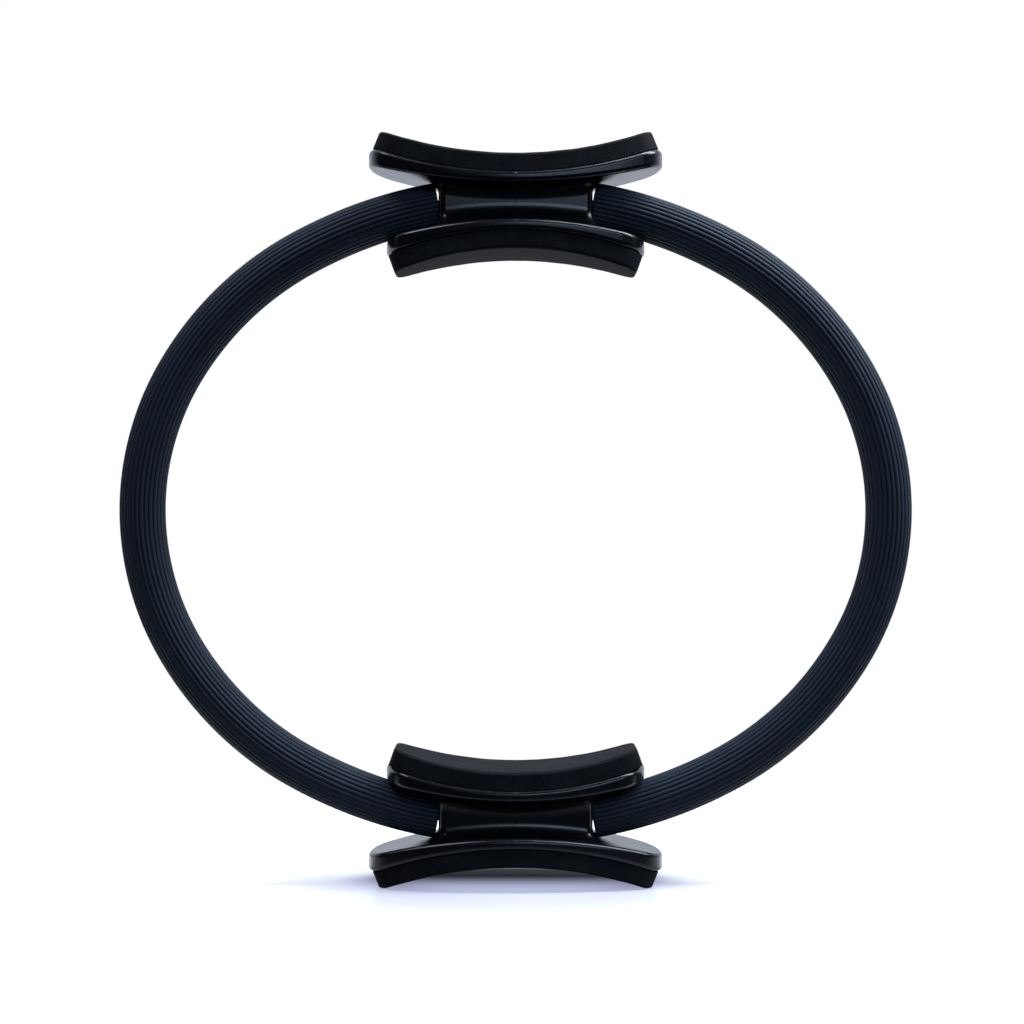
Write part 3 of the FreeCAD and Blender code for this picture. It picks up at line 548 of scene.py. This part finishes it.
# The first tint is the painted bluish shade in the table's glow round the ring.
PAINTED_SHADE_TINT, ROOM_TINT, WHITE = (0.44, 0.46, 0.66), (0.8, 0.87, 1.0), (1, 1, 1)


def fade(tree, value, start, end, first=0.0, last=1.0):
    """A smooth change along a value, from one number to another."""
    return add_node(tree, "ShaderNodeMapRange", {"Value": value, "From Min": start, "From Max": end,
                                                 "To Min": first, "To Max": last},
                    interpolation_type="SMOOTHSTEP").outputs["Result"]


def reflected(tree, ray):
    """Whether a ray comes by way of a mirror or glass."""
    return math_node(tree, "MAXIMUM", ray.outputs["Is Glossy Ray"], ray.outputs["Is Transmission Ray"])


def length(tree, vector):
    """How long a vector is."""
    return add_node(tree, "ShaderNodeVectorMath", {0: vector}, operation="LENGTH").outputs["Value"]


floor = bpy.data.objects.new("floor", bpy.data.meshes.new("floor"))
form = bmesh.new()
bmesh.ops.create_circle(form, cap_ends=True, segments=96, radius=TABLE_REACH)
form.to_mesh(floor.data)
form.free()
bpy.context.scene.collection.objects.link(floor)

floor_finish = bpy.data.materials.new("white_table")
floor_finish.use_nodes = True
tree = floor_finish.node_tree
tree.nodes.clear()
ray = add_node(tree, "ShaderNodeLightPath")
place = add_node(tree, "ShaderNodeTexCoord").outputs["Object"]
spot = add_node(tree, "ShaderNodeSeparateXYZ", {"Vector": place})
back_part = fade(tree, spot.outputs["Y"], -0.1, 0.05)
mirrored = math_node(tree, "MULTIPLY", reflected(tree, ray), back_part)
seen = math_node(tree, "MAXIMUM", ray.outputs["Is Camera Ray"], mirrored)
# Painted shade: in an oval under the lower pad the table is painted dark and loses its glow, fading out in
# front and to the sides.
oval = add_node(tree, "ShaderNodeMapping", {"Vector": place, "Scale": (1 / PAINTED_SHADE_LENGTH, 1 / PAINTED_SHADE_DEPTH, 1)})
painted_shade_under_pad = math_node(tree, "MULTIPLY", fade(tree, spot.outputs["Y"], -0.02, 0.025),
                      fade(tree, length(tree, oval.outputs["Vector"]), 0.7, 1.15, 0.97, 0.0))
outside_painted_shade = math_node(tree, "SUBTRACT", 1.0, painted_shade_under_pad)
seen = math_node(tree, "MULTIPLY", seen, outside_painted_shade)
paint = mixed(tree, seen, TABLE_BOUNCE_AND_PAINTED_SHADE, TABLE_WHITE)
matt = add_node(tree, "ShaderNodeBsdfDiffuse", {"Color": paint})
# Painted shade: the table's glow is dimmer and bluish round the ring, and white further out.
tint = mixed(tree, fade(tree, length(tree, place), 0.05, 0.16), PAINTED_SHADE_TINT, WHITE)
glow = add_node(tree, "ShaderNodeEmission", {"Color": tint, "Strength": seen})
both = add_node(tree, "ShaderNodeAddShader", {0: matt.outputs["BSDF"], 1: glow.outputs["Emission"]})
polish = add_node(tree, "ShaderNodeBsdfAnisotropic", {"Color": (0.85, 0.92, 1.0, 1), "Roughness": 0.22})
grazing = add_node(tree, "ShaderNodeFresnel", {"IOR": 1.45})
# The polish reflects less under the painted shade.
polish_share_outside_shade = math_node(tree, "MULTIPLY", grazing.outputs["Fac"], math_node(tree, "MULTIPLY", outside_painted_shade, 0.5))
table = add_node(tree, "ShaderNodeMixShader", {0: polish_share_outside_shade, 1: both.outputs["Shader"], 2: polish.outputs["BSDF"]})
add_node(tree, "ShaderNodeOutputMaterial", {"Surface": table.outputs["Shader"]})
floor.data.materials.append(floor_finish)

world = bpy.data.worlds.new("studio")
bpy.context.scene.world = world
world.use_nodes = True
tree = world.node_tree
tree.nodes.clear()
ray = add_node(tree, "ShaderNodeLightPath")
direction = add_node(tree, "ShaderNodeTexCoord").outputs["Generated"]
split = add_node(tree, "ShaderNodeSeparateXYZ", {"Vector": direction})
behind = fade(tree, split.outputs["Y"], -0.1, 0.6, 0.02, 1.0)
above = fade(tree, split.outputs["Z"], -0.2, 0.2, 0.05, 0.35)
share = math_node(tree, "MAXIMUM", reflected(tree, ray), above)
strength = math_node(tree, "MAXIMUM", ray.outputs["Is Camera Ray"],
                     math_node(tree, "MULTIPLY", behind, share))
room = mixed(tree, ray.outputs["Is Camera Ray"], ROOM_TINT, WHITE)
sky = add_node(tree, "ShaderNodeBackground", {"Color": room, "Strength": strength})
add_node(tree, "ShaderNodeOutputWorld", {"Surface": sky.outputs["Background"]})


def soft_box(name, place, target, width, height, power, colour):
    """A lamp with a wide face, turned to its target."""
    lamp = bpy.data.lights.new(name, "AREA")
    lamp.shape = "RECTANGLE"
    lamp.size, lamp.size_y = width, height
    lamp.energy = power
    lamp.color = colour
    stand = bpy.data.objects.new(name, lamp)
    stand.location = place
    stand.rotation_euler = (Vector(target) - Vector(place)).to_track_quat("-Z", "Y").to_euler()
    bpy.context.scene.collection.objects.link(stand)


middle = (0, 0, RING_CENTRE)
soft_box("main_box", (0.66, -0.02, 1.22), middle, 0.5, 1.2, 26, (0.9, 0.96, 1.0))
soft_box("left_box", (-0.55, -0.25, 1.25), middle, 0.6, 0.4, 4.5, (0.9, 0.95, 1.0))
soft_box("front_box", (0.45, -1.55, 0.85), middle, 1.1, 0.45, 6.0, (0.6, 0.78, 1.0))

CAMERA_DISTANCE, VIEW_WIDTH = 1.05, 0.4915
CAMERA_ASIDE, CAMERA_LOWER = 0.0017, 0.0008
camera = bpy.data.cameras.new("camera")
camera.sensor_width = 36
camera.lens = camera.sensor_width * CAMERA_DISTANCE / VIEW_WIDTH
stand = bpy.data.objects.new("camera", camera)
stand.location = (-CAMERA_ASIDE, -CAMERA_DISTANCE, RING_CENTRE - CAMERA_LOWER)
stand.rotation_euler = (math.radians(90), 0, 0)
bpy.context.scene.collection.objects.link(stand)
bpy.context.scene.camera = stand
bpy.context.scene.view_settings.view_transform = "Standard"
